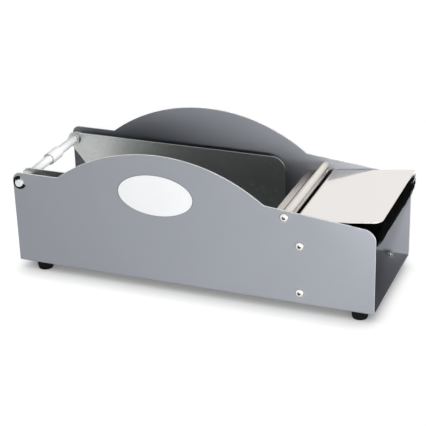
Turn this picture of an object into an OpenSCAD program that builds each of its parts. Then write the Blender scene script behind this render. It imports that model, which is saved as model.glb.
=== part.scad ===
// Bench dispenser for gummed paper tape: a folded steel channel that holds the roll
// between two sliding guide plates, a draw bar and serrated blade at the front,
// and a hinged flap that presses the tape onto a wet brush.

/* [Chassis] */
// Length of the folded channel
body_l = 420; // [390:1:460]
// Width over both side panels
body_w = 152; // [136:1:176]
// Sheet thickness of the channel
sheet_t = 1.5; // [1.2:0.1:2]
// Inside radius of the two long bends
bend_r = 2; // [1:0.5:3]
// Height of the level ledge at the rear of a side panel
ledge_h = 110.5; // [106:0.5:118]
// Height of a side panel at its front edge
front_h = 98; // [94:0.5:104]
// Length of the sloping top edge at the front
slope_l = 122; // [116:1:130]
// Length of the round hump along the ledge
hump_chord = 242; // [200:1:250]
// Rise of the round hump above the ledge
hump_rise = 41.5; // [30:0.5:50]
// Radius of the rear top corner of a side panel
rear_corner_r = 9; // [5:0.5:11]
// Radius of the front top corner of a side panel
front_corner_r = 14; // [8:1:22]

/* [Label] */
// Length of the blank oval label
label_l = 89; // [60:1:100]
// Height of the blank oval label
label_h = 48; // [30:1:56]
// Thickness of the label
label_t = 0.4; // [0.3:0.1:0.8]
// Height of the label's centre
label_z = 105; // [95:1:110]
// Distance of the label's centre behind the middle of the hump
label_back = 3; // [-10:1:20]

/* [Feet] */
// Diameter of a rubber foot at the top
foot_d = 20; // [16:0.5:24]
// Diameter of a rubber foot where it stands
foot_tip_d = 16.5; // [13:0.5:20]
// Height of a rubber foot
foot_h = 10; // [8:0.5:14]
// Distance of the rear feet from the rear edge
foot_rear_in = 26; // [20:1:40]
// Distance of the front feet from the front edge
foot_front_in = 18.5; // [13:0.5:22]
// Distance of the feet from the outer face of a panel
foot_side_in = 12; // [11.5:0.5:20]
// Diameter of the foot screws
foot_screw_d = 4; // [3:0.5:5]

/* [Rear roller] */
// Diameter of the nylon roller between the panels
roller_d = 10; // [9.5:0.5:11]
// Diameter of the turned-down ends that run in the panels
journal_d = 8.75; // [7:0.25:9]
// Distance of the roller's axis from the rear edge
roller_in = 8.5; // [8:0.5:12]
// Depth of the roller's axis below the ledge
roller_drop = 11.5; // [10:0.5:14]
// Length of the roller's end outside each panel
roller_stub = 3.6; // [3:0.2:5]
// Diameter of the collar in the middle of the roller
collar_d = 14; // [13:0.5:16]
// Length of the collar
collar_l = 24; // [16:0.5:26]
// Distance of the collar from the middle, towards the far panel
collar_y = 6; // [0:0.5:6.5]
// Outer diameter of a retaining clip
clip_d = 15.5; // [13:0.5:16]
// Thickness of a retaining clip
clip_t = 0.9; // [0.7:0.1:1.2]
// Depth of the groove that a clip snaps into
groove_depth = 1; // [0.6:0.1:1.5]
// Angle of the open mouth of a clip
clip_mouth = 100; // [80:5:130]

/* [Guide plates] */
// Sheet thickness of a guide plate
plate_t = 1.2; // [0.8:0.1:1.5]
// Radius of the eye that hangs on the roller
eye_r = 8.5; // [8:0.5:10]
// Length of a guide plate from the roller's axis to its front edge
plate_l = 267.5; // [240:0.5:275]
// Radius of the front top corner of a guide plate
plate_corner_r = 15; // [5:1:25]
// Slope of the rear edge under the eye, in degrees below level
rear_edge_angle = 51; // [46:1:60]
// Width of the foot folded out along the bottom of a guide plate
plate_foot_w = 9; // [6:0.5:10]
// Distance of the near guide plate from the near panel's inner face
near_inset = 21; // [14:0.5:50]
// Distance of the far guide plate from the far panel's inner face
far_inset = 12.5; // [12:0.5:14]
// Wall of the sleeve in a guide plate's eye
sleeve_wall = 1.5; // [1:0.1:1.8]
// Thickness of the sleeve's flange
sleeve_flange_t = 2.5; // [0.6:0.1:2.8]

/* [Draw bar and bulkhead] */
// Diameter of the polished draw bar
bar_d = 8; // [7:0.5:9]
// Distance of the draw bar's axis from the front edge
bar_back = 99; // [98:0.5:102]
// Depth of the draw bar's axis below the panels' top edge
bar_drop = 7.8; // [7:0.2:12]
// Sheet thickness of the bulkhead
bulkhead_t = 1.2; // [1:0.1:1.5]
// Length of the feed shelf folded to the rear at the top of the bulkhead
shelf_l = 18; // [17:0.5:24]
// Height of the lip folded down at the rear of the feed shelf
lip_h = 8; // [4:0.5:12]
// Length of the side flanges that are screwed to the panels
flange_l = 30; // [26:0.5:31]
// Distance of the flange screws from the front edge
flange_screw_back = 82; // [80:0.5:86]
// Height of the upper flange screw
upper_screw_z = 69.5; // [60:0.5:74]
// Height of the lower flange screw
lower_screw_z = 14; // [12:0.5:30]
// Thread diameter of the screws in the panels
screw_d = 4; // [3:0.5:5]
// Diameter of the button heads
head_d = 9.5; // [7.5:0.1:10]
// Height of the button heads
head_h = 2.75; // [2:0.05:3]

/* [Blade] */
// Thickness of the tear blade
blade_t = 2; // [1.4:0.1:2.2]
// Width of the tear blade from its back edge to the tips of its teeth
blade_w = 14.5; // [13:0.5:16]
// How far the teeth stand in front of the draw bar's axis
blade_ahead = 3.5; // [3:0.25:5]
// Pitch of the teeth
tooth_pitch = 3; // [2:0.25:5]
// Depth of the teeth
tooth_depth = 2; // [1:0.25:2.5]
// Slope of the ground bevel behind the teeth, in degrees
bevel_angle = 30; // [24:1:40]
// Height of the gap between the blade and the draw bar
tape_gap = 2.7; // [1:0.1:3.2]

/* [Flap] */
// Sheet thickness of the pressure flap
flap_t = 1.1; // [0.8:0.1:1.5]
// Diameter of the flap's hinge rod
hinge_rod_d = 3; // [2.5:0.5:3.5]
// Wall of the barrel rolled round the hinge rod
barrel_wall = 1.3; // [1.2:0.1:1.6]
// Distance of the hinge axis in front of the draw bar's axis
hinge_ahead = 10.5; // [10:0.25:13]
// Depth of the hinge axis below the top of the blade
hinge_drop = 0.8; // [0.4:0.1:3]
// Rise of the closed flap to the front, in degrees
flap_angle = 7.6; // [6:0.1:8.5]
// Length of the flap, from the hinge axis to the front edge
flap_l = 94; // [90:0.5:96]
// How far the barrel stands proud of the flap's top face
barrel_bead = 0.25; // [0.15:0.05:0.4]
// Radius of the flap's near front corner
flap_corner_r = 9; // [4:0.5:14]

/* [Water trough] */
// Wall of the plastic trough
trough_wall = 2.5; // [2:0.1:3]
// Length of the trough's level bottom
trough_bottom_l = 30.5; // [26:0.5:34]
// Distance of the trough's front rim behind the front edge
trough_rim_in = 2.5; // [2:0.5:8]
// Depth of the trough's rim below the panels' front height
trough_rim_drop = 22; // [20:0.5:28]
// Height of the runners that the trough slides on
runner_h = 5.2; // [5:0.2:8]
// Width of a runner
runner_w = 6; // [4:0.5:10]
// Distance of the runners from the middle
runner_y = 42; // [25:1:44]

/* [Brush] */
// Thickness of the brush
brush_t = 18; // [14:0.5:20]
// Height of the brush's back
brush_back_h = 12; // [8:0.5:13]
// Height of the brush's seat, along the sloping front wall
brush_seat = 44; // [40:0.5:46]
// Thickness of the slice of back that the bristles stand in
slice_t = 2; // [1.5:0.1:3]
// Rows of bristle tufts across the brush
tuft_rows = 6; // [5:1:7]
// Bristle tufts in a row
tufts_per_row = 50; // [50:1:70]
// Radius of a tuft
tuft_r = 0.7; // [0.4:0.05:0.8]
// Spread of the tips over the roots across the brush
tuft_fan = 0.2; // [0:0.02:0.3]
// How far the longest bristles stand out past the panels' front edge
bristle_reach = 7; // [4:0.5:10]
// Gap between the bristle tips and the closed flap
tip_gap = 0.8; // [0.5:0.1:2]

/* [Fits] */
// Radial clearance of a part that turns or slides on a rod
run_gap = 0.06; // [0.03:0.01:0.1]
// Radial clearance of a fastener or a fixed insert in its hole
hole_gap = 0.1; // [0.05:0.05:0.3]
// Gap between a part that slides and the face that it slides on
slide_gap = 0.3; // [0.2:0.05:0.5]
// Gap at the two ends of a part that lies between side walls
end_gap = 0.8; // [0.4:0.1:1.2]

/* [Hidden] */
$fn = 64;

// Length of a cut that passes well beyond what it cuts
through = 300;
// Sides of the shanks and holes that other pieces hide
hidden_sides = 12;
// Overall length, from the rear edge to the longest bristles
overall_l = body_l + bristle_reach;
// Inside of the channel
inner_y = body_w / 2 - sheet_t;
bend_outer_r = bend_r + sheet_t;

// Side panel outline
slope_drop = (ledge_h - front_h) / slope_l;
slope_angle = atan(slope_drop);
slope_x = body_l - slope_l;
hump_x = slope_x - hump_chord / 2;
hump_r = (pow(hump_chord / 2, 2) + pow(hump_rise, 2)) / (2 * hump_rise);
panel_top = ledge_h + hump_rise;
front_arc = [
    body_l - front_corner_r,
    front_h + slope_drop * front_corner_r - front_corner_r / cos(slope_angle)
];
front_arc_end = front_arc + front_corner_r * [sin(slope_angle), cos(slope_angle)];

// Feet and their fasteners
foot_recess_d = 2.25 * foot_screw_d;
foot_recess_h = foot_h / 2;
foot_head_d = 2 * foot_screw_d;
foot_head_h = 0.6 * foot_screw_d;
foot_nut_w = 1.75 * foot_screw_d;
foot_nut_h = 0.8 * foot_screw_d;
foot_thread_end = sheet_t + foot_nut_h + 0.2 * foot_screw_d;
foot_xs = [foot_rear_in, body_l - foot_front_in];
foot_y = body_w / 2 - foot_side_in;

// Rear roller and its clips
roller_z = ledge_h - roller_drop;
roller_r = roller_d / 2;
journal_r = journal_d / 2;
shoulder_y = inner_y - slide_gap;
roller_end = body_w / 2 + roller_stub;
roller_chamfer = 0.3;
collar_bore_r = roller_r + hole_gap;
clip_side_gap = 0.15;
groove_in = body_w / 2 + clip_side_gap;
groove_out = groove_in + clip_t + 2 * clip_side_gap;
groove_r = journal_r - groove_depth;
clip_mouth_dir = 30;

// Guide plates
plate_top = roller_z + eye_r;
plate_front = roller_in + plate_l;
plate_bottom = sheet_t + slide_gap;
sleeve_bore_r = roller_r + run_gap;
sleeve_r = sleeve_bore_r + sleeve_wall;
sleeve_rim = 1;
sleeve_flange_r = sleeve_r + sleeve_rim;
sleeve_l = far_inset - plate_t / 2 - slide_gap;
rear_edge_top = [
    roller_in - eye_r * sin(rear_edge_angle),
    roller_z - eye_r * cos(rear_edge_angle)
];
rear_edge_foot_x = rear_edge_top[0] + (rear_edge_top[1] - plate_bottom) / tan(rear_edge_angle);
near_plate_y = -inner_y + near_inset;
far_plate_y = inner_y - far_inset;

// Draw bar, blade and bulkhead
bar_x = body_l - bar_back;
bar_z = ledge_h - slope_drop * (bar_x - slope_x) - bar_drop;
bar_r = bar_d / 2;
bar_thread_l = 10;
blade_top = bar_z - bar_r - tape_gap;
shelf_top = blade_top - blade_t;
web_ahead = 3;
web_x = bar_x - web_ahead;
shelf_rear = web_x - shelf_l;
flange_in = inner_y - bulkhead_t;
flange_front = web_x + flange_l;
flange_bottom = sheet_t + bend_r + slide_gap;
ear_wall = 1.6;
flange_slope = 16;
flange_shoulder = blade_top - flange_slope;
flange_low_top = blade_top + bulkhead_t / 2;
flange_screw_x = body_l - flange_screw_back;
flange_screw_zs = [lower_screw_z, upper_screw_z];
nut_w = 1.75 * screw_d;
nut_h = 0.8 * screw_d;
screw_grip = sheet_t + bulkhead_t;
screw_tip = 0.8;
blade_front = bar_x + blade_ahead;
blade_back = blade_front - blade_w;
blade_half = flange_in - end_gap;
blade_edge_t = 0.3;
bevel_l = (blade_t - blade_edge_t) / tan(bevel_angle);
blade_screw_d = 3;
blade_head_d = 5.4;
blade_nut_w = 5.5;
blade_nut_h = 2.4;
blade_screw_x = web_x - bulkhead_t - blade_nut_w / 2 - end_gap;
blade_screw_ys = [-0.7 * blade_half, 0, 0.7 * blade_half];

// Flap, and the ears of the bulkhead that hold its hinge rod
hinge_x = bar_x + hinge_ahead;
hinge_z = blade_top - hinge_drop;
barrel_bore_r = hinge_rod_d / 2 + run_gap;
barrel_r = barrel_bore_r + barrel_wall;
flap_half = flange_in - slide_gap;
flap_under = barrel_r - barrel_bead - flap_t;
ear_half = hinge_rod_d / 2 + 2 * ear_wall;
ear_top = hinge_z + hinge_rod_d / 2 + ear_wall;

// Trough section, from its level bottom up the sloping front wall
trough_gap = 3;
trough_half = inner_y - 3 * end_gap;
trough_rear = flange_front + trough_gap;
trough_bottom = sheet_t + slide_gap + runner_h;
trough_toe = [trough_rear + trough_bottom_l, trough_bottom];
trough_rim = [body_l - trough_rim_in, front_h - trough_rim_drop];
lean = atan((trough_rim[0] - trough_toe[0]) / (trough_rim[1] - trough_toe[1]));
lean_up = [sin(lean), cos(lean)];
lean_out = [cos(lean), -sin(lean)];

// Brush, in a frame that leans with the trough's front wall
brush_half = trough_half - trough_wall - end_gap;
brush_foot = trough_toe + brush_seat * lean_up
    - (trough_wall + slide_gap + brush_t / 2) * lean_out;
rest_h = 6;
rest_w = 5;
rest_y = 0.6 * brush_half;
root_z = brush_back_h + slice_t;
tuft_seed = 17;
tip_jitter = 1.5;
tip_taper = 0.6;

module placed() {
    translate([-overall_l / 2, 0, foot_h]) children();
}

// Extrudes an outline drawn in length and height across the width
module across(width) {
    rotate([90, 0, 0]) linear_extrude(width, center = true) children();
}

// Extrudes an outline drawn in width and height along the length
module along(length) {
    rotate([90, 0, 90]) linear_extrude(length) children();
}

// A round rod across the width, centred on the middle
module cross_rod(r, length, x, z) {
    translate([x, 0, z]) rotate([90, 0, 0]) cylinder(r = r, h = length, center = true);
}

// Cuts the holes for screws through both panels, which their heads hide
module panel_screw_holes(x, z) {
    translate([x, 0, z]) rotate([90, 0, 0])
        cylinder(d = screw_d + 2 * hole_gap, h = through, center = true, $fn = hidden_sides);
}

// Puts a fastener that points up on the outside of the near and the far panel
module on_both_panels(x, z) {
    for (side = [-1, 1]) {
        translate([x, side * body_w / 2, z]) rotate([-side * 90, 0, 0]) children();
    }
}

module button_screw(grip) {
    shoulder_d = 0.86 * head_d;
    top_d = 0.52 * head_d;
    socket_d = 0.85 * screw_d;
    difference() {
        union() {
            cylinder(d1 = head_d, d2 = shoulder_d, h = head_h / 2);
            translate([0, 0, head_h / 2])
                cylinder(d1 = shoulder_d, d2 = top_d, h = head_h / 2);
            translate([0, 0, -grip])
                cylinder(d = screw_d, h = grip + head_h / 4, $fn = hidden_sides);
        }
        translate([0, 0, head_h / 2]) cylinder(d = socket_d, h = head_h, $fn = 6);
    }
}

module hex_nut(width, height, bore) {
    difference() {
        cylinder(d = width / cos(30), h = height, $fn = 6);
        translate([0, 0, -height])
            cylinder(d = bore + 2 * hole_gap, h = 3 * height, $fn = hidden_sides);
    }
}

module side_outline() {
    polygon([
        [0, 0], [body_l, 0], [body_l, front_arc[1]], front_arc, front_arc_end,
        [slope_x, ledge_h], [rear_corner_r, ledge_h],
        [rear_corner_r, ledge_h - rear_corner_r], [0, ledge_h - rear_corner_r]
    ]);
    translate(front_arc) circle(front_corner_r);
    translate([rear_corner_r, ledge_h - rear_corner_r]) circle(rear_corner_r);
    intersection() {
        translate([hump_x, panel_top - hump_r]) circle(hump_r, $fn = 180);
        translate([hump_x - hump_chord / 2, ledge_h - hump_rise / 8])
            square([hump_chord, 2 * hump_rise]);
    }
}

module channel_section() {
    floor_half = body_w / 2 - bend_outer_r;
    translate([-floor_half, 0]) square([2 * floor_half, sheet_t]);
    for (side = [0, 1]) mirror([side, 0]) {
        translate([inner_y, bend_outer_r]) square([sheet_t, panel_top]);
        translate([floor_half, bend_outer_r]) intersection() {
            difference() {
                circle(bend_outer_r);
                circle(bend_r);
            }
            translate([0, -bend_outer_r]) square(bend_outer_r);
        }
    }
}

module chassis() color("slategray") placed() {
    difference() {
        intersection() {
            along(body_l) channel_section();
            across(2 * body_w) side_outline();
        }
        cross_rod(journal_r + run_gap, through, roller_in, roller_z);
        panel_screw_holes(bar_x, bar_z);
        for (z = flange_screw_zs) panel_screw_holes(flange_screw_x, z);
        at_each_foot() translate([0, 0, -sheet_t])
            cylinder(d = foot_screw_d + 2 * hole_gap, h = 3 * sheet_t, $fn = hidden_sides);
    }
}

module blank_label() color("white") placed() {
    steps = 48;
    translate([hump_x - label_back, -body_w / 2 - label_t / 2, label_z]) across(label_t) {
        polygon([for (i = [0 : steps - 1])
            [label_l / 2 * cos(360 * i / steps), label_h / 2 * sin(360 * i / steps)]]);
    }
}

module at_each_foot() {
    for (x = foot_xs, side = [-1, 1]) translate([x, side * foot_y, 0]) children();
}

module rubber_feet() color("black") placed() at_each_foot() {
    difference() {
        translate([0, 0, -foot_h]) cylinder(d1 = foot_tip_d, d2 = foot_d, h = foot_h);
        translate([0, 0, -2 * foot_h])
            cylinder(d = foot_screw_d + 2 * hole_gap, h = 3 * foot_h, $fn = hidden_sides);
        translate([0, 0, -2 * foot_h + foot_recess_h])
            cylinder(d = foot_recess_d, h = foot_h, $fn = hidden_sides);
    }
}

module foot_screws() color("silver") placed() at_each_foot() {
    head_z = foot_recess_h - foot_h;
    difference() {
        union() {
            translate([0, 0, head_z - foot_head_h]) cylinder(d = foot_head_d, h = foot_head_h);
            translate([0, 0, head_z - foot_head_h / 4])
                cylinder(d = foot_screw_d, h = foot_thread_end - head_z + foot_head_h / 4,
                         $fn = hidden_sides);
        }
        translate([0, 0, head_z - 1.5 * foot_head_h])
            cylinder(d = foot_head_d / 2, h = foot_head_h, $fn = 6);
    }
}

module foot_nuts() color("silver") placed() at_each_foot() {
    translate([0, 0, sheet_t]) hex_nut(foot_nut_w, foot_nut_h, foot_screw_d);
}

module rear_roller() color("white") placed() {
    half_outline = [
        [roller_r, shoulder_y], [journal_r, shoulder_y],
        [journal_r, groove_in], [groove_r, groove_in], [groove_r, groove_out],
        [journal_r, groove_out], [journal_r, roller_end - roller_chamfer],
        [journal_r - roller_chamfer, roller_end], [0, roller_end]
    ];
    translate([roller_in, 0, roller_z]) rotate([90, 0, 0]) for (side = [0, 1]) {
        mirror([0, 0, side]) rotate_extrude() {
            polygon(concat([[0, 0], [roller_r, 0]], half_outline));
        }
    }
}

module roller_collar() color("white") placed() {
    translate([roller_in, collar_y, roller_z]) rotate([90, 0, 0]) difference() {
        cylinder(d = collar_d, h = collar_l, center = true);
        cylinder(r = collar_bore_r / cos(180 / hidden_sides), h = through, center = true,
                 $fn = hidden_sides);
    }
}

module rear_clips() color("black") placed() {
    mouth = 2 * clip_d;
    for (side = [-1, 1]) {
        translate([roller_in, side * (groove_in + groove_out) / 2, roller_z]) across(clip_t) {
            difference() {
                circle(d = clip_d);
                circle(groove_r + hole_gap);
                polygon([
                    [0, 0],
                    for (turn = [-1, 1])
                        mouth * [cos(clip_mouth_dir + turn * clip_mouth / 2),
                                 sin(clip_mouth_dir + turn * clip_mouth / 2)]
                ]);
            }
        }
    }
}

module plate_outline() {
    corner = [plate_front - plate_corner_r, plate_top - plate_corner_r];
    polygon([
        [roller_in, roller_z], [roller_in, plate_top], [corner[0], plate_top], corner,
        [plate_front, corner[1]], [plate_front, plate_bottom],
        [rear_edge_foot_x, plate_bottom], rear_edge_top
    ]);
    translate(corner) circle(plate_corner_r);
    translate([roller_in, roller_z]) circle(eye_r);
}

// A guide plate whose folded foot points out to the panel on the given side
module guide_plate(y, side) {
    foot_side = (1 - side) / 2;
    difference() {
        union() {
            translate([0, y, 0]) across(plate_t) plate_outline();
            translate([0, y, 0]) mirror([0, foot_side, 0])
                translate([rear_edge_foot_x, -plate_t / 2, plate_bottom])
                    cube([plate_front - rear_edge_foot_x, plate_foot_w, plate_t]);
        }
        cross_rod(sleeve_r + hole_gap / 2, through, roller_in, roller_z);
    }
}

// The flanged sleeve in a guide plate's eye, with its flange towards the roll
module guide_sleeve(y, side) {
    translate([roller_in, y + side * plate_t / 2, roller_z]) rotate([-side * 90, 0, 0]) difference() {
        union() {
            translate([0, 0, -plate_t]) cylinder(r = sleeve_r, h = plate_t + sleeve_l);
            translate([0, 0, -plate_t - sleeve_flange_t])
                cylinder(r = sleeve_flange_r, h = sleeve_flange_t);
        }
        cylinder(r = sleeve_bore_r, h = through, center = true);
    }
}

module near_guide_plate() color("darkseagreen") placed() guide_plate(near_plate_y, -1);

module near_guide_sleeve() color("silver") placed() guide_sleeve(near_plate_y, -1);

module far_guide_plate() color("darkseagreen") placed() guide_plate(far_plate_y, 1);

module far_guide_sleeve() color("silver") placed() guide_sleeve(far_plate_y, 1);

module flange_outline() {
    polygon([
        [web_x - bulkhead_t, flange_bottom], [flange_front, flange_bottom],
        [flange_front, flange_shoulder], [hinge_x + ear_half, ear_top],
        [hinge_x - ear_half + ear_wall, ear_top], [hinge_x - ear_half, flange_low_top],
        [web_x - bulkhead_t, flange_low_top]
    ]);
}

module front_bulkhead() color("rosybrown") placed() {
    shelf_bottom = shelf_top - bulkhead_t;
    difference() {
        union() {
            translate([web_x - bulkhead_t, -inner_y, flange_bottom])
                cube([bulkhead_t, 2 * inner_y, shelf_top - flange_bottom]);
            translate([shelf_rear, -flange_in, shelf_bottom])
                cube([shelf_l, 2 * flange_in, bulkhead_t]);
            translate([shelf_rear, -flange_in, shelf_top - lip_h])
                cube([bulkhead_t, 2 * flange_in, lip_h]);
            for (side = [-1, 1]) {
                translate([0, side * (inner_y + flange_in) / 2, 0]) across(bulkhead_t)
                    flange_outline();
            }
        }
        cross_rod(hinge_rod_d / 2 + hole_gap, through, hinge_x, hinge_z);
        for (z = flange_screw_zs) panel_screw_holes(flange_screw_x, z);
        for (y = blade_screw_ys) {
            translate([blade_screw_x, y, shelf_bottom - bulkhead_t])
                cylinder(d = blade_screw_d + 2 * hole_gap, h = 4 * bulkhead_t, $fn = hidden_sides);
        }
    }
}

module side_screws() color("gainsboro") placed() {
    for (z = flange_screw_zs) {
        on_both_panels(flange_screw_x, z) button_screw(screw_grip + nut_h + screw_tip);
    }
}

module side_nuts() color("silver") placed() {
    for (z = flange_screw_zs) {
        on_both_panels(flange_screw_x, z)
            translate([0, 0, -screw_grip - nut_h]) hex_nut(nut_w, nut_h, screw_d);
    }
}

module draw_bar() color("ghostwhite") placed() {
    bore_l = bar_thread_l + 2 * screw_tip;
    difference() {
        cross_rod(bar_r, 2 * inner_y, bar_x, bar_z);
        for (side = [-1, 1]) {
            translate([bar_x, side * inner_y, bar_z]) rotate([90, 0, 0])
                cylinder(d = screw_d + 2 * hole_gap, h = 2 * bore_l, center = true,
                         $fn = hidden_sides);
        }
    }
}

module bar_screws() color("gainsboro") placed() {
    on_both_panels(bar_x, bar_z) button_screw(sheet_t + bar_thread_l);
}

module tear_blade() color("dimgray") placed() {
    teeth = floor(2 * blade_half / tooth_pitch);
    pitch = 2 * blade_half / teeth;
    root = blade_front - tooth_depth;
    difference() {
        translate([0, 0, shelf_top]) linear_extrude(blade_t) polygon([
            [blade_back, blade_half], [blade_back, -blade_half], [root, -blade_half],
            for (i = [0 : teeth - 1]) each [
                [blade_front, -blade_half + (i + 0.5) * pitch],
                [root, -blade_half + (i + 1) * pitch]
            ]
        ]);
        across(through) polygon([
            [blade_front - bevel_l, blade_top],
            [blade_front + bevel_l, blade_top - 2 * (blade_t - blade_edge_t)],
            [blade_front + bevel_l, blade_top + blade_t]
        ]);
        for (y = blade_screw_ys) translate([blade_screw_x, y, blade_top]) {
            translate([0, 0, -2 * blade_t])
                cylinder(d = blade_screw_d + 2 * hole_gap, h = 3 * blade_t, $fn = hidden_sides);
            translate([0, 0, -blade_t / 2])
                cylinder(d = blade_head_d + 2 * hole_gap, h = blade_t, $fn = hidden_sides);
        }
    }
}

module blade_screws() color("silver") placed() {
    thread_l = blade_t / 2 + bulkhead_t + blade_nut_h;
    for (y = blade_screw_ys) translate([blade_screw_x, y, blade_top - blade_t / 2]) {
        cylinder(d = blade_head_d, h = blade_t / 2, $fn = hidden_sides);
        translate([0, 0, -thread_l])
            cylinder(d = blade_screw_d, h = thread_l + blade_t / 4, $fn = hidden_sides);
    }
}

module blade_nuts() color("silver") placed() {
    for (y = blade_screw_ys) {
        translate([blade_screw_x, y, shelf_top - bulkhead_t - blade_nut_h])
            hex_nut(blade_nut_w, blade_nut_h, blade_screw_d);
    }
}

module flap_hinge_rod() color("silver") placed() {
    cross_rod(hinge_rod_d / 2, 2 * (inner_y - slide_gap), hinge_x, hinge_z);
}

module pressure_flap() color("linen") placed() {
    translate([hinge_x, 0, hinge_z]) rotate([0, -flap_angle, 0]) difference() {
        union() {
            cross_rod(barrel_r, 2 * flap_half, 0, 0);
            translate([0, -flap_half, flap_under]) cube([flap_l, 2 * flap_half, flap_t]);
        }
        cross_rod(barrel_bore_r, through, 0, 0);
        translate([flap_l - flap_corner_r, -flap_half + flap_corner_r, flap_under - flap_t])
            difference() {
                translate([0, -2 * flap_corner_r, 0])
                    cube([2 * flap_corner_r, 2 * flap_corner_r, 3 * flap_t]);
                cylinder(r = flap_corner_r, h = 3 * flap_t);
            }
    }
}

// Draws in the frame of the brush: up the sloping wall, with its front face to +X
module leaned() {
    translate([brush_foot[0], 0, brush_foot[1]]) rotate([0, lean, 0]) children();
}

module water_trough() color("black") placed() {
    wall_x = trough_wall / cos(lean);
    inner_toe = trough_toe + trough_wall * [tan(lean), 1] - [wall_x, 0];
    above = 2 * trough_wall;
    inner_rim = trough_rim + above * [tan(lean), 1] - [wall_x, 0];
    difference() {
        across(2 * trough_half) polygon([
            [trough_rear, trough_bottom], trough_toe, trough_rim, [trough_rear, trough_rim[1]]
        ]);
        across(2 * (trough_half - trough_wall)) polygon([
            [trough_rear + trough_wall, inner_toe[1]], inner_toe, inner_rim,
            [trough_rear + trough_wall, inner_rim[1]]
        ]);
    }
    for (side = [-1, 1]) {
        translate([trough_rear, side * runner_y - runner_w / 2, trough_bottom - runner_h])
            cube([trough_bottom_l, runner_w, runner_h]);
        leaned() translate([0, side * rest_y - rest_w / 2, -rest_h])
            cube([brush_t / 2 + slide_gap + trough_wall / 2, rest_w, rest_h]);
    }
}

module brush_back() color("black") placed() leaned() {
    translate([-brush_t / 2, -brush_half, 0]) cube([brush_t, 2 * brush_half, brush_back_h]);
}

// Place of grid corner i, j on top of the slice
function root_corner(i, j) =
    [brush_t * (i / tuft_rows - 0.5), 2 * brush_half * (j / tufts_per_row - 0.5), root_z];

// Length of a tuft whose tip stands at x, up to the flap or the front reach
function tip_height(x) = min(
    (hinge_z - brush_foot[1] + flap_under / cos(flap_angle) - tip_gap + x * sin(lean)
        + tan(flap_angle) * (brush_foot[0] + x * cos(lean) - hinge_x))
        / (cos(lean) - tan(flap_angle) * sin(lean)),
    (body_l + bristle_reach - tip_taper * tuft_r - brush_foot[0] - x * cos(lean)) / sin(lean)
);

// The three corners of a tuft round a point, seen from above
function tuft_corners(centre, r) =
    [for (turn = [-90, 30, 150]) centre + r * [cos(turn), sin(turn), 0]];

module brush_bristles() color("black") placed() leaned() {
    count = tuft_rows * tufts_per_row;
    jitter = rands(-1, 0, 2 * count, tuft_seed);
    cells = [for (i = [0 : tuft_rows - 1], j = [0 : tufts_per_row - 1]) [i, j]];
    grid = [for (i = [0 : tuft_rows], j = [0 : tufts_per_row]) root_corner(i, j)];
    tufts = [for (k = [0 : count - 1]) each
        let (
            root = (root_corner(cells[k][0], cells[k][1])
                + root_corner(cells[k][0] + 1, cells[k][1] + 1)) / 2,
            tip_x = root[0] * (1 + tuft_fan),
            tip_y = root[1] + (jitter[count + k] + 0.5) * tuft_r,
            tip = [tip_x, tip_y, tip_height(tip_x) + jitter[k] * tip_jitter]
        )
        concat(tuft_corners(root, tuft_r), tuft_corners(tip, tip_taper * tuft_r))
    ];
    half = brush_t / 2;
    base = [
        [-half, -brush_half, brush_back_h], [half, -brush_half, brush_back_h],
        [half, brush_half, brush_back_h], [-half, brush_half, brush_back_h]
    ];
    corner = function (i, j) i * (tufts_per_row + 1) + j;
    first_tuft = len(grid);
    q = first_tuft + len(tufts);
    far_i = tuft_rows;
    far_j = tufts_per_row;
    tuft_faces = [for (k = [0 : count - 1]) each
        let (
            i = cells[k][0],
            j = cells[k][1],
            a = corner(i, j),
            b = corner(i + 1, j),
            c = corner(i + 1, j + 1),
            d = corner(i, j + 1),
            t = first_tuft + 6 * k
        )
        [
            [a, b, t], [b, t + 1, t], [b, c, t + 1], [c, t + 2, t + 1],
            [c, d, t + 2], [d, a, t + 2], [a, t, t + 2],
            [t, t + 1, t + 4], [t, t + 4, t + 3], [t + 1, t + 2, t + 5],
            [t + 1, t + 5, t + 4], [t + 2, t, t + 3], [t + 2, t + 3, t + 5],
            [t + 3, t + 4, t + 5]
        ]
    ];
    slice_faces = [
        [q, q + 3, q + 2], [q, q + 2, q + 1],
        [q, q + 1, corner(far_i, 0)],
        for (i = [0 : far_i - 1]) [q, corner(i + 1, 0), corner(i, 0)],
        [q + 1, q + 2, corner(far_i, far_j)],
        for (j = [0 : far_j - 1]) [q + 1, corner(far_i, j + 1), corner(far_i, j)],
        [q + 2, q + 3, corner(0, far_j)],
        for (i = [0 : far_i - 1]) [q + 2, corner(i, far_j), corner(i + 1, far_j)],
        [q + 3, q, corner(0, 0)],
        for (j = [0 : far_j - 1]) [q + 3, corner(0, j), corner(0, j + 1)]
    ];
    polyhedron(
        points = concat(grid, tufts, base),
        faces = [for (face = concat(tuft_faces, slice_faces)) [face[2], face[1], face[0]]]
    );
}

chassis();
blank_label();
rubber_feet();
foot_screws();
foot_nuts();
rear_roller();
roller_collar();
rear_clips();
near_guide_plate();
near_guide_sleeve();
far_guide_plate();
far_guide_sleeve();
front_bulkhead();
side_screws();
side_nuts();
draw_bar();
bar_screws();
tear_blade();
blade_screws();
blade_nuts();
flap_hinge_rod();
pressure_flap();
water_trough();
brush_back();
brush_bristles();
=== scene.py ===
"""Bench dispenser for gummed paper tape, dressed piece by piece in the order of its assembly."""

import math
import random

import bmesh
import bpy
from mathutils import Matrix, Vector


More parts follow.
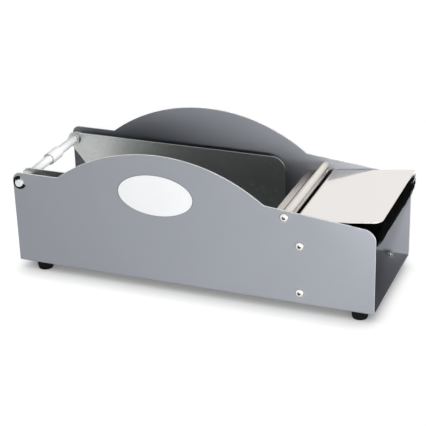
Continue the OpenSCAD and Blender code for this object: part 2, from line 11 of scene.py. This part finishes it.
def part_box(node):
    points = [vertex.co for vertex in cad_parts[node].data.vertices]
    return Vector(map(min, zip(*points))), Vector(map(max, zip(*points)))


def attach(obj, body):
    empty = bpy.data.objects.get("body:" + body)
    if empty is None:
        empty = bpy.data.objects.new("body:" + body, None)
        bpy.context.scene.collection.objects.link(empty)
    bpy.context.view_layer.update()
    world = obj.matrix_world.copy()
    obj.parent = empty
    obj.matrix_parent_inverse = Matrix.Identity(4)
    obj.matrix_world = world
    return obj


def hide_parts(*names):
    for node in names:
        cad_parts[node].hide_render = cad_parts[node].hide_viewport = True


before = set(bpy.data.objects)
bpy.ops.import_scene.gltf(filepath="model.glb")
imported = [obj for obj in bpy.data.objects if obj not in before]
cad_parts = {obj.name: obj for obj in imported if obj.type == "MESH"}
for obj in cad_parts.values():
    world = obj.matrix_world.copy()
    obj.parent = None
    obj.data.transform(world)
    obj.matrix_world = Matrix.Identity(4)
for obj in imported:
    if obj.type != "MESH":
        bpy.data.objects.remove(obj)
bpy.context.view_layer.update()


# Folded channel
# One sheet of 1.5 mm steel, folded up on both long sides into humped panels.
# It is powder coated in a satin blue-grey; along the cut edges the coat has worn to the steel.
def finish(name, **sockets):
    """A material whose even values stand on its shader's own sockets."""
    made = bpy.data.materials.new(name)
    made.use_nodes = True
    shader = made.node_tree.nodes["Principled BSDF"]
    for socket, value in sockets.items():
        shader.inputs[socket.replace("_", " ")].default_value = value
    return made


def effect(name, *own_inputs):
    """A node group that several finishes share, with its two ends and the place on the piece."""
    group = bpy.data.node_groups.new(name, "ShaderNodeTree")
    for label, kind, value in (
        ("Light", "NodeSocketColor", (0.8, 0.8, 0.8, 1)),
        ("Dark", "NodeSocketColor", (0.6, 0.6, 0.6, 1)),
        ("Smooth", "NodeSocketFloat", 0.3),
        ("Dull", "NodeSocketFloat", 0.5),
        *own_inputs,
    ):
        group.interface.new_socket(label, in_out="INPUT", socket_type=kind).default_value = value
    for label, kind in (
        ("Color", "NodeSocketColor"),
        ("Roughness", "NodeSocketFloat"),
        ("Height", "NodeSocketFloat"),
    ):
        group.interface.new_socket(label, in_out="OUTPUT", socket_type=kind)
    taken = group.nodes.new("NodeGroupInput")
    given = group.nodes.new("NodeGroupOutput")
    place = group.nodes.new("ShaderNodeTexCoord").outputs["Object"]
    return group, taken, given, place


def spread_over(group, taken, given, shade, height):
    """Sends a 0 to 1 shade to an effect's colour and roughness, and a height to its relief."""
    for kind, at_zero, at_one, result in (
        ("RGBA", "Dark", "Light", "Color"),
        ("FLOAT", "Dull", "Smooth", "Roughness"),
    ):
        mixed = group.nodes.new("ShaderNodeMix")
        mixed.data_type = kind
        group.links.new(shade, mixed.inputs["Factor"])
        group.links.new(taken.outputs[at_zero], mixed.inputs["A"])
        group.links.new(taken.outputs[at_one], mixed.inputs["B"])
        group.links.new(mixed.outputs["Result"], given.inputs[result])
    group.links.new(height, given.inputs["Height"])


def noise(group, place, scale, detail):
    """A noise over a place, its scale a number or one of the effect's inputs."""
    made = group.nodes.new("ShaderNodeTexNoise")
    made.inputs["Detail"].default_value = detail
    group.links.new(place, made.inputs["Vector"])
    if isinstance(scale, float):
        made.inputs["Scale"].default_value = scale
    else:
        group.links.new(scale, made.inputs["Scale"])
    return made.outputs["Fac"]


def stretched(group, value):
    """Maps the middle range of a noise to 0 to 1."""
    made = group.nodes.new("ShaderNodeMapRange")
    made.inputs["From Min"].default_value = 0.3
    made.inputs["From Max"].default_value = 0.7
    group.links.new(value, made.inputs["Value"])
    return made.outputs["Result"]


mottle, taken, given, place = effect(
    "coat_mottle", ("Patches", "NodeSocketFloat", 20.0), ("Grain", "NodeSocketFloat", 900.0)
)
patches = stretched(mottle, noise(mottle, place, taken.outputs["Patches"], detail=4.0))
grain = noise(mottle, place, taken.outputs["Grain"], detail=2.0)
spread_over(mottle, taken, given, patches, grain)


def dress(made, group, bump, depth, **inputs):
    """Places an effect in a finish, with that finish's own values, and returns the finish."""
    tree = made.node_tree
    shader = tree.nodes["Principled BSDF"]
    placed = tree.nodes.new("ShaderNodeGroup")
    placed.node_tree = group
    for label, value in inputs.items():
        placed.inputs[label].default_value = value
    relief = tree.nodes.new("ShaderNodeBump")
    relief.inputs["Strength"].default_value = bump
    relief.inputs["Distance"].default_value = depth
    tree.links.new(placed.outputs["Color"], shader.inputs["Base Color"])
    tree.links.new(placed.outputs["Roughness"], shader.inputs["Roughness"])
    tree.links.new(placed.outputs["Height"], relief.inputs["Height"])
    tree.links.new(relief.outputs["Normal"], shader.inputs["Normal"])
    return made


def piece_of(work, name, *finishes):
    """Turns worked geometry into a piece of the scene, with its finishes."""
    mesh = bpy.data.meshes.new(name)
    work.to_mesh(mesh)
    work.free()
    for made in finishes:
        mesh.materials.append(made)
    piece = bpy.data.objects.new(name, mesh)
    bpy.context.scene.collection.objects.link(piece)
    return piece


def eased_copy(node, *finishes, ease):
    """A copy of a CAD piece, its sharp edges eased to catch the light and in the last finish."""
    same_place, same_plane, sharp_angle = 1e-6, math.radians(0.4), math.radians(30)
    work = bmesh.new()
    work.from_mesh(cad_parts[node].data)
    bmesh.ops.remove_doubles(work, verts=work.verts, dist=same_place)
    bmesh.ops.dissolve_limit(work, angle_limit=same_plane, verts=work.verts, edges=work.edges)
    sharp = [
        edge for edge in work.edges
        if len(edge.link_faces) == 2 and edge.calc_face_angle() > sharp_angle
    ]
    for face in work.faces:
        face.material_index = 0
    rounded = bmesh.ops.bevel(
        work, geom=sharp, offset=ease, segments=2, profile=0.6, affect="EDGES", clamp_overlap=True
    )
    for face in rounded["faces"]:
        face.material_index = len(finishes) - 1
    for face in work.faces:
        face.smooth = True
    piece = piece_of(work, node + "_eased", *finishes)
    even = piece.modifiers.new("even_shading", "WEIGHTED_NORMAL")
    even.keep_sharp = True
    return piece


def stands_for(piece, node, body):
    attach(piece, body)
    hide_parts(node)


coat = dress(
    finish("satin_blue_grey_coat", Specular_IOR_Level=0.3), mottle, bump=0.18, depth=0.0002,
    Light=(0.345, 0.357, 0.388, 1), Dark=(0.328, 0.340, 0.370, 1),
    Smooth=0.36, Dull=0.44, Patches=9.0, Grain=1300.0,
)
coat_edge = dress(
    finish("coat_on_broken_edge", Metallic=0.8), mottle, bump=0.15, depth=0.0002,
    Light=(0.78, 0.79, 0.80, 1), Dark=(0.62, 0.63, 0.65, 1),
    Smooth=0.3, Dull=0.42, Patches=60.0, Grain=1300.0,
)
channel = eased_copy("chassis", coat, coat_edge, ease=0.00035)
panel_inside = 0.0745
for face in channel.data.polygons:
    cut_edge = abs(face.center.y) > panel_inside and abs(face.normal.y) < 0.5
    faces_down = face.normal.z <= -0.5
    if cut_edge and not faces_down:
        face.material_index = 1
stands_for(channel, "chassis", "chassis")


# Rubber feet
# Four moulded rubber feet, each screwed up into the floor through a recess in its sole.
# The rubber is matt black with the fine texture of its mould; screw and nut are zinc plated.
rubber = dress(
    finish("matt_black_rubber", Specular_IOR_Level=0.08), mottle, bump=0.4, depth=0.0003,
    Light=(0.006, 0.006, 0.006, 1), Dark=(0.003, 0.003, 0.003, 1),
    Smooth=0.62, Dull=0.85, Patches=120.0, Grain=2200.0,
)
feet = eased_copy("rubber_feet", rubber, ease=0.0008)
stands_for(feet, "rubber_feet", "chassis")

zinc = dress(
    finish("zinc_plate", Metallic=1.0), mottle, bump=0.15, depth=0.0001,
    Light=(0.70, 0.68, 0.63, 1), Dark=(0.52, 0.51, 0.49, 1),
    Smooth=0.24, Dull=0.42, Patches=260.0, Grain=2600.0,
)
for node in ("foot_screws", "foot_nuts"):
    stands_for(eased_copy(node, zinc, ease=0.0002), node, "chassis")


# Oval label
# A blank oval of white self-adhesive film, stuck to the near panel below the top of its hump.
# A thin dark ring of painted shadow runs round the film's cut edge.
film = dress(
    finish("white_label_film", Coat_Weight=0.4, Coat_Roughness=0.2), mottle, bump=0.06, depth=0.0001,
    Light=(1.0, 1.0, 1.0, 1), Dark=(0.97, 0.97, 0.97, 1),
    Smooth=0.28, Dull=0.36, Patches=40.0, Grain=700.0,
)


def ramp(tree, value, *stops):
    """A colour that follows a value through two or more stops."""
    made = tree.nodes.new("ShaderNodeValToRGB")
    elements = made.color_ramp.elements
    for element, (position, colour) in zip(list(elements), stops):
        element.position = position
        element.color = colour
    for position, colour in stops[2:]:
        elements.new(position).color = colour
    tree.links.new(value, made.inputs["Fac"])
    return made.outputs["Color"]


def stain(made, shade):
    """Multiplies a finish's colour by a shade that changes over the piece."""
    tree = made.node_tree
    base = tree.nodes["Principled BSDF"].inputs["Base Color"]
    stained = tree.nodes.new("ShaderNodeMix")
    stained.data_type = "RGBA"
    stained.blend_type = "MULTIPLY"
    stained.inputs["Factor"].default_value = 1.0
    tree.links.new(base.links[0].from_socket, stained.inputs["A"])
    tree.links.new(shade, stained.inputs["B"])
    tree.links.new(stained.outputs["Result"], base)


low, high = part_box("blank_label")
no_depth = 1000.0
film_nodes = film.node_tree
film_place = film_nodes.nodes.new("ShaderNodeTexCoord")
to_oval = film_nodes.nodes.new("ShaderNodeMapping")
to_oval.vector_type = "TEXTURE"
to_oval.inputs["Location"].default_value = (low + high) / 2
to_oval.inputs["Scale"].default_value = ((high.x - low.x) / 2, no_depth, (high.z - low.z) / 2)
from_middle = film_nodes.nodes.new("ShaderNodeVectorMath")
from_middle.operation = "LENGTH"
film_nodes.links.new(film_place.outputs["Object"], to_oval.inputs["Vector"])
film_nodes.links.new(to_oval.outputs["Vector"], from_middle.inputs[0])
# The dark ring at the film's edge is a painted shadow.
unshaded_film, edge_shadow_dark = (0.97, 0.97, 0.97, 1), (0.09, 0.095, 0.1, 1)
border = ramp(film_nodes, from_middle.outputs["Value"], (0.976, unshaded_film), (0.988, edge_shadow_dark))
stain(film, border)
label = eased_copy("blank_label", film, ease=0.0001)
stands_for(label, "blank_label", "chassis")


# Rear roller
# A rod of white nylon with fine turning rings, through both panels. It carries the guide plates
# and a nylon collar; a black spring-steel clip snaps into a groove at each end.
drawn, taken, given, place = effect(
    "drawn_lines", ("Stretch", "NodeSocketVector", (1.0, 1.0, 1.0))
)
along = drawn.nodes.new("ShaderNodeVectorMath")
along.operation = "MULTIPLY"
drawn.links.new(place, along.inputs[0])
drawn.links.new(taken.outputs["Stretch"], along.inputs[1])
lines = stretched(drawn, noise(drawn, along.outputs["Vector"], scale=1.0, detail=3.0))
spread_over(drawn, taken, given, lines, lines)

nylon = dress(
    finish("white_nylon"), drawn, bump=0.08, depth=0.0001,
    Light=(0.93, 0.93, 0.925, 1), Dark=(0.88, 0.88, 0.87, 1),
    Smooth=0.34, Dull=0.46, Stretch=(20.0, 1500.0, 20.0),
)
roller = eased_copy("rear_roller", nylon, ease=0.0003)
stands_for(roller, "rear_roller", "roller")
collar = eased_copy("roller_collar", nylon, ease=0.0011)
stands_for(collar, "roller_collar", "roller")

phosphate = dress(
    finish("black_phosphate", Specular_IOR_Level=0.1), mottle, bump=0.2, depth=0.0001,
    Light=(0.005, 0.005, 0.006, 1), Dark=(0.002, 0.002, 0.003, 1),
    Smooth=0.4, Dull=0.6, Patches=300.0, Grain=2500.0,
)
clips = eased_copy("rear_clips", phosphate, ease=0.00015)
stands_for(clips, "rear_clips", "roller")


# Guide plates
# Two galvanised plates hang on the roller by flanged sleeves and slide to the width of the roll.
# Each has a foot folded out along the floor; the zinc shows its crystals as a faint spangle.
spangle, taken, given, place = effect("zinc_spangle", ("Crystals", "NodeSocketFloat", 260.0))
cells = spangle.nodes.new("ShaderNodeTexVoronoi")
spangle.links.new(place, cells.inputs["Vector"])
spangle.links.new(taken.outputs["Crystals"], cells.inputs["Scale"])
cell_shade = spangle.nodes.new("ShaderNodeSeparateColor")
spangle.links.new(cells.outputs["Color"], cell_shade.inputs["Color"])
clouds = stretched(spangle, noise(spangle, place, scale=45.0, detail=5.0))
clouded = spangle.nodes.new("ShaderNodeMix")
clouded.inputs["Factor"].default_value = 0.6
spangle.links.new(cell_shade.outputs["Red"], clouded.inputs["A"])
spangle.links.new(clouds, clouded.inputs["B"])
spread_over(spangle, taken, given, clouded.outputs["Result"], cells.outputs["Distance"])

galvanised = dress(
    finish("galvanised_sheet", Metallic=1.0), spangle, bump=0.02, depth=0.00005,
    Light=(0.545, 0.56, 0.545, 1), Dark=(0.47, 0.485, 0.47, 1),
    Smooth=0.26, Dull=0.36, Crystals=240.0,
)
galvanised_edge = dress(
    finish("sheared_zinc_edge", Metallic=1.0), mottle, bump=0.1, depth=0.0001,
    Light=(0.62, 0.63, 0.61, 1), Dark=(0.46, 0.47, 0.455, 1),
    Smooth=0.3, Dull=0.45, Patches=150.0, Grain=2000.0,
)
for side in ("near", "far"):
    plate = eased_copy(side + "_guide_plate", galvanised, galvanised_edge, ease=0.0003)
    stands_for(plate, side + "_guide_plate", side + "_guide")
    sleeve = eased_copy(side + "_guide_sleeve", galvanised_edge, ease=0.0002)
    stands_for(sleeve, side + "_guide_sleeve", side + "_guide")


# Front bulkhead
# A folded bracket of brushed steel sheet, screwed between the panels. Its top is the feed shelf,
# with a painted dark band of shade behind the blade; its ears hold the flap's hinge rod.
def painted_shade_line(made, start, end):
    """Paints a dark band of shade into a finish between two places along the length."""
    tree = made.node_tree
    place = tree.nodes.new("ShaderNodeTexCoord")
    axes = tree.nodes.new("ShaderNodeSeparateXYZ")
    reach = tree.nodes.new("ShaderNodeMapRange")
    reach.inputs["From Min"].default_value = start
    reach.inputs["From Max"].default_value = end
    tree.links.new(place.outputs["Object"], axes.inputs["Vector"])
    tree.links.new(axes.outputs["X"], reach.inputs["Value"])
    unshaded, gap_shade, gap_shade_end = (1, 1, 1, 1), (0.06, 0.055, 0.05, 1), (0.05, 0.05, 0.05, 1)
    stops = ((0.12, unshaded), (0.3, gap_shade), (0.8, gap_shade_end), (0.98, unshaded))
    stain(made, ramp(tree, reach.outputs["Result"], *stops))


shelf = dress(
    finish("brushed_shelf_sheet", Metallic=1.0), drawn, bump=0.12, depth=0.0001,
    Light=(0.66, 0.60, 0.56, 1), Dark=(0.54, 0.49, 0.45, 1),
    Smooth=0.18, Dull=0.32, Stretch=(1600.0, 18.0, 1600.0),
)
# The shelf gets a painted dark band of shade behind the blade, standing in for the gap's shadow.
painted_shade_line(shelf, start=0.0932, end=0.0990)
bulkhead = eased_copy("front_bulkhead", shelf, ease=0.0003)
stands_for(bulkhead, "front_bulkhead", "chassis")


# Panel screws
# Six bright button-head screws with hexagon sockets: one a side into the draw bar, two a side
# into the bulkhead's flanges. Nuts hold the lower ones on the inside.
bright = dress(
    finish("bright_steel", Metallic=1.0), mottle, bump=0.05, depth=0.0001,
    Light=(0.86, 0.84, 0.81, 1), Dark=(0.76, 0.74, 0.71, 1),
    Smooth=0.14, Dull=0.24, Patches=400.0, Grain=2600.0,
)
# The socket walls are painted near black, as painted shade for the inside of the recess.
socket_shade = dress(
    finish("painted_socket_shade", Specular_IOR_Level=0.3), mottle, bump=0.2, depth=0.0001,
    Light=(0.030, 0.027, 0.024, 1), Dark=(0.010, 0.009, 0.008, 1),
    Smooth=0.35, Dull=0.6, Patches=900.0, Grain=3000.0,
)
panel_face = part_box("chassis")[1].y
head_r = 0.00475


def button_screw(mesh, x, z, side, length):
    """Adds one domed screw with a hexagon socket, its head outside the panel on the given side."""
    shank_r, thread_pitch, thread_depth = 0.00195, 0.0007, 0.0003
    head_h, rim_h, rim_chamfer = 0.00275, 0.0004, 0.0006
    socket_r, socket_depth, socket_chamfer = 0.00175, 0.0019, 0.0001
    drill_r, drill_depth = 0.0007, 0.0003
    dome, dome_steps, steps = math.radians(60), 8, 48
    rings = [(0.0, -length, False)]
    for i in range(int(length / thread_pitch)):
        rings.append((shank_r - thread_depth * (i % 2), -length + thread_pitch * i, False))
    rings += [(shank_r, 0.0, False), (head_r - rim_chamfer, 0.0, False), (head_r, rim_h, False)]
    for i in range(1, dome_steps + 1):
        turn = dome * i / dome_steps
        rise = (head_h - rim_h) * math.sin(turn) / math.sin(dome)
        rings.append((head_r * math.cos(turn), rim_h + rise, False))
    socket_ring = len(rings)
    socket_floor = head_h - socket_depth
    rings += [
        (socket_r + socket_chamfer, head_h, True), (socket_r, head_h - socket_chamfer, True),
        (socket_r, socket_floor, True), (drill_r, socket_floor, False),
        (0.0, socket_floor - drill_depth, False),
    ]
    rows = []
    for radius, height, hexagon in rings:
        row = []
        for k in range(steps if radius else 1):
            turn = 2 * math.pi * k / steps
            reach = radius
            if hexagon:
                reach = radius / math.cos((turn + math.pi / 6) % (math.pi / 3) - math.pi / 6)
            across, up = reach * math.cos(turn), reach * math.sin(turn)
            row.append(mesh.verts.new((x + across, side * (panel_face + height), z + up)))
        rows.append(row)
    for ring, (first, second) in enumerate(zip(rows, rows[1:])):
        for k in range(steps):
            corners = [
                first[k % len(first)], first[(k + 1) % len(first)],
                second[(k + 1) % len(second)], second[k % len(second)],
            ]
            face = mesh.faces.new(list(dict.fromkeys(corners)))
            face.smooth = True
            # Faces inside the socket take the painted shade finish.
            face.material_index = 1 if socket_ring < ring < len(rows) - 2 else 0


def screw_set(name, places, length):
    """Like screws at the same places in both panels, as one piece."""
    work = bmesh.new()
    for x, z in places:
        for side in (-1, 1):
            button_screw(work, x, z, side, length)
    bmesh.ops.recalc_face_normals(work, faces=work.faces)
    piece = piece_of(work, name, bright, socket_shade)
    piece.data.set_sharp_from_angle(angle=math.radians(40))
    return piece


low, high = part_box("bar_screws")
bar_place = ((low.x + high.x) / 2, (low.z + high.z) / 2)
upper_screws = screw_set("bar_button_screws", [bar_place], length=0.0115)
stands_for(upper_screws, "bar_screws", "chassis")
low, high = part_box("side_screws")
flange_x = (low.x + high.x) / 2
flange_places = [(flange_x, low.z + head_r), (flange_x, high.z - head_r)]
flange_screws = screw_set("flange_button_screws", flange_places, length=0.0067)
stands_for(flange_screws, "side_screws", "chassis")
stands_for(eased_copy("side_nuts", zinc, ease=0.0002), "side_nuts", "chassis")


# Draw bar
# A solid bar of bright ground steel between the panels, which the tape runs under.
# Its surface has a fine, even grain.
bar_steel = dress(
    finish("ground_bar_steel", Metallic=1.0), drawn, bump=0.05, depth=0.0001,
    Light=(0.84, 0.805, 0.755, 1), Dark=(0.76, 0.73, 0.685, 1),
    Smooth=0.48, Dull=0.60, Stretch=(900.0, 900.0, 900.0),
)
bar = eased_copy("draw_bar", bar_steel, ease=0.0003)
stands_for(bar, "draw_bar", "chassis")


# Tear blade
# A strip of hardened steel, screwed flat to the feed shelf. The bevel behind its teeth is ground
# across, and shows fine bright grinding lines.
blade_steel = dress(
    finish("ground_blade_steel", Metallic=1.0), drawn, bump=0.1, depth=0.0001,
    Light=(0.80, 0.78, 0.745, 1), Dark=(0.66, 0.64, 0.61, 1),
    Smooth=0.22, Dull=0.36, Stretch=(30.0, 1800.0, 30.0),
)
# The blade's back edge gets the same painted dark band of shade.
painted_shade_line(blade_steel, start=0.0940, end=0.0974)
blade = eased_copy("tear_blade", blade_steel, ease=0.0001)
stands_for(blade, "tear_blade", "chassis")
for node in ("blade_screws", "blade_nuts"):
    stands_for(eased_copy(node, zinc, ease=0.00015), node, "chassis")


# Pressure flap
# A flat sheet of satin stainless steel, rolled round a hinge rod at its rear edge. Its own weight
# presses the tape onto the brush. It reflects the panel beside it softly.
rod = eased_copy("flap_hinge_rod", zinc, ease=0.0002)
stands_for(rod, "flap_hinge_rod", "chassis")
stainless = dress(
    finish("satin_stainless", Metallic=1.0), drawn, bump=0.01, depth=0.00005,
    Light=(0.825, 0.795, 0.77, 1), Dark=(0.81, 0.78, 0.755, 1),
    Smooth=0.1, Dull=0.14, Stretch=(2200.0, 30.0, 2200.0),
)
flap = eased_copy("pressure_flap", stainless, ease=0.0003)
stands_for(flap, "pressure_flap", "flap")


# Water trough
# A moulded black plastic trough on two runners. Its front wall leans out under the flap,
# and two rests on that wall carry the brush.
plastic = dress(
    finish("moulded_black_plastic", Specular_IOR_Level=0.2), mottle, bump=0.25, depth=0.0002,
    Light=(0.009, 0.009, 0.010, 1), Dark=(0.005, 0.005, 0.006, 1),
    Smooth=0.42, Dull=0.58, Patches=70.0, Grain=1500.0,
)
trough = eased_copy("water_trough", plastic, ease=0.0005)
stands_for(trough, "water_trough", "trough")


# Brush
# A plastic back with rows of stiff black bristles, leaning with the trough's front wall.
# The bristles are trimmed under the flap; the front ones have splayed out over the trough's rim.
back = eased_copy("brush_back", plastic, ease=0.0006)
stands_for(back, "brush_back", "trough")

bristle = dress(
    finish("black_bristle", Specular_IOR_Level=0.03), drawn, bump=0.1, depth=0.0001,
    Light=(0.003, 0.003, 0.003, 1), Dark=(0.0015, 0.0015, 0.0015, 1),
    Smooth=0.5, Dull=0.7, Stretch=(700.0, 700.0, 60.0),
)
wall_run, wall_rise = 0.036, 0.069
lean = math.atan(wall_run / wall_rise)
half_thick, back_top, root_top, root_sink = 0.009, 0.012, 0.014, 0.0004
low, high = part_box("brush_back")
half_wide = high.y
brush_foot = Vector((low.x + half_thick * math.cos(lean), 0.0, low.z + half_thick * math.sin(lean)))
brush_up = Vector((math.sin(lean), 0.0, math.cos(lean)))
brush_out = Vector((math.cos(lean), 0.0, -math.sin(lean)))
flap_hinge = Vector((0.118, 0.0, 0.102846))
flap_angle, flap_under, tip_gap = math.radians(7.6), 0.00151, 0.0008
front_reach = 0.2127


def bristle_length(out):
    """Room for a bristle whose tip stands this far out from the brush's middle."""
    slope = math.tan(flap_angle)
    tip_x = brush_foot.x + out * math.cos(lean)
    under_flap = (
        flap_hinge.z - brush_foot.z + flap_under / math.cos(flap_angle) - tip_gap
        + out * math.sin(lean) + slope * (tip_x - flap_hinge.x)
    ) / (math.cos(lean) - slope * math.sin(lean))
    to_front = (front_reach - tip_x) / math.sin(lean)
    return min(under_flap, to_front)


def at_brush(out, across, up):
    return brush_foot + out * brush_out + up * brush_up + Vector((0.0, across, 0.0))


def add_strand(mesh, root, tip, length, splay):
    """Adds one three-sided strand, which thins to its tip and bellies out as far as it splays."""
    sides, first_turn = 3, 0.5
    rings = []
    for share, belly, radius in (
        (0.0, 0.0, 0.00022), (0.41, 0.0, 0.0002), (0.47, 0.0030, 0.0002),
        (0.60, 0.0046, 0.00018), (0.80, 0.0041, 0.00015), (1.0, 0.0005, 0.00011),
    ):
        out = root[0] + (tip[0] - root[0]) * share + splay * belly
        across = root[1] + (tip[1] - root[1]) * share
        up = root_top - root_sink + (length - root_top + root_sink) * share
        ring = []
        for k in range(sides):
            turn = first_turn + 2 * math.pi * k / sides
            corner = at_brush(out + radius * math.cos(turn), across + radius * math.sin(turn), up)
            ring.append(mesh.verts.new(corner))
        rings.append(ring)
    for lower, upper in zip(rings, rings[1:]):
        for k in range(sides):
            after = (k + 1) % sides
            face = mesh.faces.new((lower[k], lower[after], upper[after], upper[k]))
            face.smooth = True
    mesh.faces.new(rings[-1])


work = bmesh.new()
slice_corners = [
    work.verts.new(at_brush(out * half_thick, across * half_wide, up))
    for up in (back_top, root_top)
    for out, across in ((-1, -1), (1, -1), (1, 1), (-1, 1))
]
for loop in ((3, 2, 1, 0), (4, 5, 6, 7), (0, 1, 5, 4), (1, 2, 6, 5), (2, 3, 7, 6), (3, 0, 4, 7)):
    work.faces.new([slice_corners[k] for k in loop])
trimmed = random.Random(17)
rows, columns, strands = 6, 50, 12
middle_row = (rows - 1) / 2
root_stray_out, root_stray_across = 0.0011, 0.0010
tip_fan, tip_stray_out, tip_stray_across = 1.2, 0.0010, 0.0014
uneven_trim, splay_bias = 0.0022, 0.6
for row in range(rows):
    for column in range(columns):
        for strand in range(strands):
            root_out = 2 * half_thick * ((row + 0.5) / rows - 0.5)
            root_out += trimmed.uniform(-root_stray_out, root_stray_out)
            root_y = 2 * half_wide * ((column + 0.5) / columns - 0.5)
            root_y += trimmed.uniform(-root_stray_across, root_stray_across)
            tip_out = root_out * tip_fan + trimmed.uniform(-tip_stray_out, tip_stray_out)
            tip_y = root_y + trimmed.uniform(-tip_stray_across, tip_stray_across)
            tip_y = max(-half_wide, min(half_wide, tip_y))
            length = bristle_length(tip_out) - trimmed.uniform(0.0, uneven_trim)
            in_front = max(0.0, (row - middle_row) / middle_row)
            splay = trimmed.uniform(0.0, 1.0) ** splay_bias * in_front
            add_strand(work, (root_out, root_y), (tip_out, tip_y), length, splay)
bristles = piece_of(work, "trimmed_bristles", bristle)
stands_for(bristles, "brush_bristles", "trough")


# Studio
# A sheet of white paper in a white tent with a cool, dim roof. Low soft boxes round the tent light
# the panels, and soft spots the roller, the far panel and the mouth. The paper keeps the lamps'
# shadow, and a soft shadow under the object is painted into its glow.
floor_half = 6.0
floor_corners = [(x * floor_half, y * floor_half, 0) for x, y in ((-1, -1), (1, -1), (1, 1), (-1, 1))]
floor_mesh = bpy.data.meshes.new("floor")
floor_mesh.from_pydata(floor_corners, [], [(0, 1, 2, 3)])
floor = bpy.data.objects.new("floor", floor_mesh)
bpy.context.scene.collection.objects.link(floor)


def seen_not_lit_by(tree):
    """1 for rays that show the white studio, seen, mirrored or through glass; 0 for its light."""
    path = tree.nodes.new("ShaderNodeLightPath")
    seen = path.outputs["Is Camera Ray"]
    for kind in ("Is Glossy Ray", "Is Transmission Ray"):
        either = tree.nodes.new("ShaderNodeMath")
        either.operation = "MAXIMUM"
        tree.links.new(seen, either.inputs[0])
        tree.links.new(path.outputs[kind], either.inputs[1])
        seen = either.outputs["Value"]
    return seen


paper = bpy.data.materials.new("white_floor")
paper.use_nodes = True
sheet = paper.node_tree
sheet.nodes.clear()
plain = sheet.nodes.new("ShaderNodeBsdfDiffuse")
plain.inputs["Color"].default_value = (0.8, 0.8, 0.8, 1)
shaded = sheet.nodes.new("ShaderNodeBsdfDiffuse")
shaded.inputs["Color"].default_value = (0.3, 0.3, 0.3, 1)
# Where the object hides the paper's open sky, its glow dims: a painted soft shadow.
open_sky = sheet.nodes.new("ShaderNodeAmbientOcclusion")
open_sky.samples = 8
open_sky.inputs["Distance"].default_value = 0.038
soft_shadow = sheet.nodes.new("ShaderNodeMapRange")
soft_shadow.inputs["From Min"].default_value = 0.1
soft_shadow.inputs["From Max"].default_value = 0.88
soft_shadow.inputs["To Min"].default_value = 0.15
soft_shadow.inputs["To Max"].default_value = 0.95
glow = sheet.nodes.new("ShaderNodeEmission")
seen = sheet.nodes.new("ShaderNodeAddShader")
which = sheet.nodes.new("ShaderNodeMixShader")
result = sheet.nodes.new("ShaderNodeOutputMaterial")
sheet.links.new(open_sky.outputs["AO"], soft_shadow.inputs["Value"])
sheet.links.new(soft_shadow.outputs["Result"], glow.inputs["Strength"])
sheet.links.new(shaded.outputs["BSDF"], seen.inputs[0])
sheet.links.new(glow.outputs["Emission"], seen.inputs[1])
sheet.links.new(seen_not_lit_by(sheet), which.inputs["Fac"])
sheet.links.new(plain.outputs["BSDF"], which.inputs[1])
sheet.links.new(seen.outputs["Shader"], which.inputs[2])
sheet.links.new(which.outputs["Shader"], result.inputs["Surface"])
floor_mesh.materials.append(paper)

world = bpy.data.worlds.new("white_tent")
bpy.context.scene.world = world
world.use_nodes = True
tent = world.node_tree
backdrop = tent.nodes["Background"]
tent_light = tent.nodes.new("ShaderNodeMix")
tent_light.data_type = "RGBA"
tent_light.inputs["A"].default_value = (0.026, 0.036, 0.054, 1)
tent_light.inputs["B"].default_value = (1, 1, 1, 1)
tent.links.new(seen_not_lit_by(tent), tent_light.inputs["Factor"])
tent.links.new(tent_light.outputs["Result"], backdrop.inputs["Color"])


def place_lamp(lamp, place, target):
    placed = bpy.data.objects.new(lamp.name, lamp)
    placed.location = place
    placed.rotation_euler = (Vector(target) - Vector(place)).to_track_quat("-Z", "Y").to_euler()
    bpy.context.scene.collection.objects.link(placed)


for name, place, target, width, height, watts in (
    ("near_strip", (0.5, -1.2, 0.19), (0.1, 0.0, 0.1), 1.5, 0.37, 12.0),
    ("near_right_box", (1.0, -0.9, 0.15), (0.1, 0.0, 0.1), 0.5, 0.28, 6.0),
    ("far_strip", (-0.05, 1.2, 0.07), (0.0, 0.0, 0.07), 1.2, 0.13, 8.0),
    ("rear_strip", (-1.3, 0.25, 0.12), (-0.2, 0.0, 0.1), 0.6, 0.22, 5.0),
):
    box = bpy.data.lights.new(name, "AREA")
    box.shape = "RECTANGLE"
    box.size = width
    box.size_y = height
    box.energy = watts
    place_lamp(box, place, target)
for name, place, target, cone, watts in (
    ("roller_spot", (0.6, 0.0, 0.8), (-0.205, 0.0, 0.109), 10.0, 48.0),
    ("panel_spot", (0.42, -1.2, 0.75), (0.15, 0.0755, 0.118), 4.4, 75.0),
    ("mouth_spot", (0.42, -1.2, 0.75), (0.2, 0.0755, 0.045), 4.5, 28.0),
):
    spot = bpy.data.lights.new(name, "SPOT")
    spot.shadow_soft_size = 0.05
    spot.spot_size = math.radians(cone)
    spot.spot_blend = 0.8
    spot.energy = watts
    place_lamp(spot, place, target)

turn, tilt, roll = math.radians(21.885), math.radians(24.7915), math.radians(-1.6577)
camera_place = Vector((0.523604, -1.311148, 0.718950))
focal_pixels, image_pixels, sensor = 1374.46, 426, 36.0
ahead = Vector((-math.sin(turn) * math.cos(tilt), math.cos(turn) * math.cos(tilt), -math.sin(tilt)))
level = Vector((math.cos(turn), math.sin(turn), 0.0))
upright = level.cross(ahead)
right = math.cos(roll) * level + math.sin(roll) * upright
up = -math.sin(roll) * level + math.cos(roll) * upright
lens = bpy.data.cameras.new("camera")
lens.sensor_fit = "HORIZONTAL"
lens.sensor_width = sensor
lens.lens = focal_pixels / image_pixels * sensor
lens.clip_end = 20.0
camera = bpy.data.objects.new("camera", lens)
stance = Matrix((right, up, -ahead)).transposed().to_4x4()
stance.translation = camera_place
camera.matrix_world = stance
bpy.context.scene.collection.objects.link(camera)
bpy.context.scene.camera = camera

bpy.context.scene.view_settings.view_transform = "Standard"
